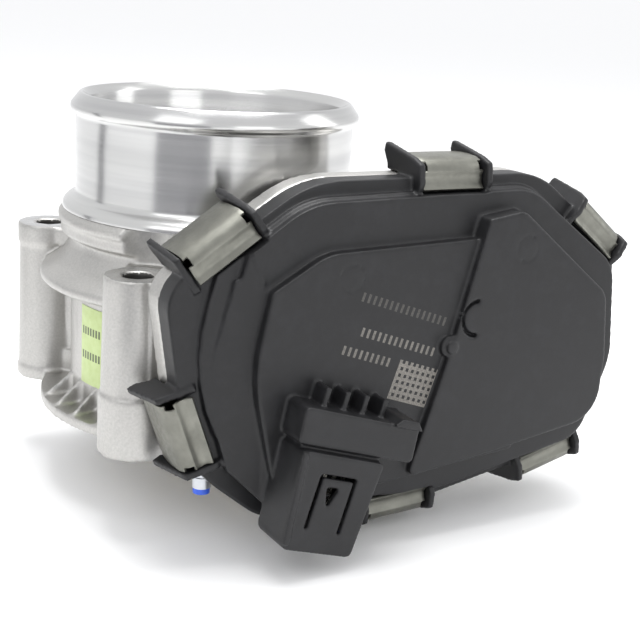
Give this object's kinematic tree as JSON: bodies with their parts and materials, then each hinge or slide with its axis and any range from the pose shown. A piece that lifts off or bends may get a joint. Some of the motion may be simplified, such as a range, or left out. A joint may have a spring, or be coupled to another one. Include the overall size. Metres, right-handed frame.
{
  "type": "throttle body",
  "caption": "Electronic throttle body: a cast aluminium bore with a motor-driven butterfly plate and a gear train under a clipped plastic cover with a wire connector.",
  "frame": {"origin": "centre of the air bore on the mounting face", "axes": "+Z along the bore from the mounting face to the hose spigot, -Y to the gear cover, +X to the motor"},
  "size_m": [0.1364, 0.1203, 0.0995],
  "materials": {
    "cast_aluminium": "as cast, fine grain, machined spigot and faces",
    "cover_plastic": "moulded, fine spark-eroded grain",
    "clip_steel": "bent strip, satin",
    "seal_rubber": "moulded",
    "label_film": "printed adhesive film",
    "turned_steel": "ground",
    "plate_brass": "stamped, turned edge",
    "zinc_steel": "zinc plated",
    "bearing_steel": "drawn and hardened",
    "spring_steel": "drawn wire and strip",
    "bush_plastic": "natural acetal",
    "gear_plastic": "glass-filled nylon",
    "copper": "bare and enamelled copper",
    "can_steel": "drawn, zinc plated",
    "ferrite": "pressed ferrite",
    "lamination_steel": "stacked sheets",
    "pinion_brass": "hobbed",
    "bronze": "sintered bronze",
    "cap_plastic": "moulded",
    "carbon": "copper-graphite",
    "tinned_copper": "tin plated",
    "board_laminate": "solder mask over laminate",
    "chip_resin": "moulded resin",
    "mark_paint": "dab of marking paint"
  },
  "bodies": {
    "housing": {"housing": "cast_aluminium", "gear_cover": "cover_plastic", "cover_clips": "clip_steel", "cover_gasket": "seal_rubber", "bore_label": "label_film", "drive_bearing": "bearing_steel", "end_bearing": "bearing_steel", "shaft_seal": "seal_rubber", "end_plug": "zinc_steel", "spring_bush": "bush_plastic", "return_spring": "spring_steel", "idler_pin": "turned_steel", "motor_can": "can_steel", "motor_magnets": "ferrite", "motor_bushings": "bronze", "motor_end_cap": "cap_plastic", "motor_brushes": "carbon", "motor_terminals": "tinned_copper", "motor_screws": "zinc_steel", "wave_washer": "spring_steel", "sensor_board": "board_laminate", "sensor_chip": "chip_resin", "connector_pins": "tinned_copper", "stop_screw": "zinc_steel", "stop_screw_paint": "mark_paint"},
    "throttle": {"throttle_shaft": "turned_steel", "throttle_plate": "plate_brass", "plate_screws": "zinc_steel", "retaining_ring": "spring_steel", "sector_gear": "gear_plastic", "gear_insert": "turned_steel", "sensor_target": "copper"},
    "idler": {"idler_gear": "gear_plastic"},
    "motor_rotor": {"motor_shaft": "turned_steel", "rotor_core": "lamination_steel", "rotor_windings": "copper", "commutator": "copper", "motor_pinion": "pinion_brass"}
  },
  "joints": [
    {"name": "throttle_turn", "type": "hinge", "parent": "housing", "child": "throttle", "pos_m": [0, 0, 0.0255], "axis": [0, 1, 0], "range_deg": [-7.5, 80], "stiffness_Nm_per_rad": 0.25},
    {"name": "idler_turn", "type": "hinge", "parent": "housing", "child": "idler", "pos_m": [0.03499, 0, 0.03148], "axis": [0, 1, 0], "range_deg": [-277, 27]},
    {"name": "motor_turn", "type": "hinge", "parent": "housing", "child": "motor_rotor", "pos_m": [0.06, 0, 0.026], "axis": [0, 1, 0], "range_deg": [-113, 1194]}
  ],
  "couplings": [
    {"joint": "idler_turn", "follows": "throttle_turn", "ratio": -3.4375},
    {"joint": "motor_turn", "follows": "throttle_turn", "ratio": 14.896}
  ]
}
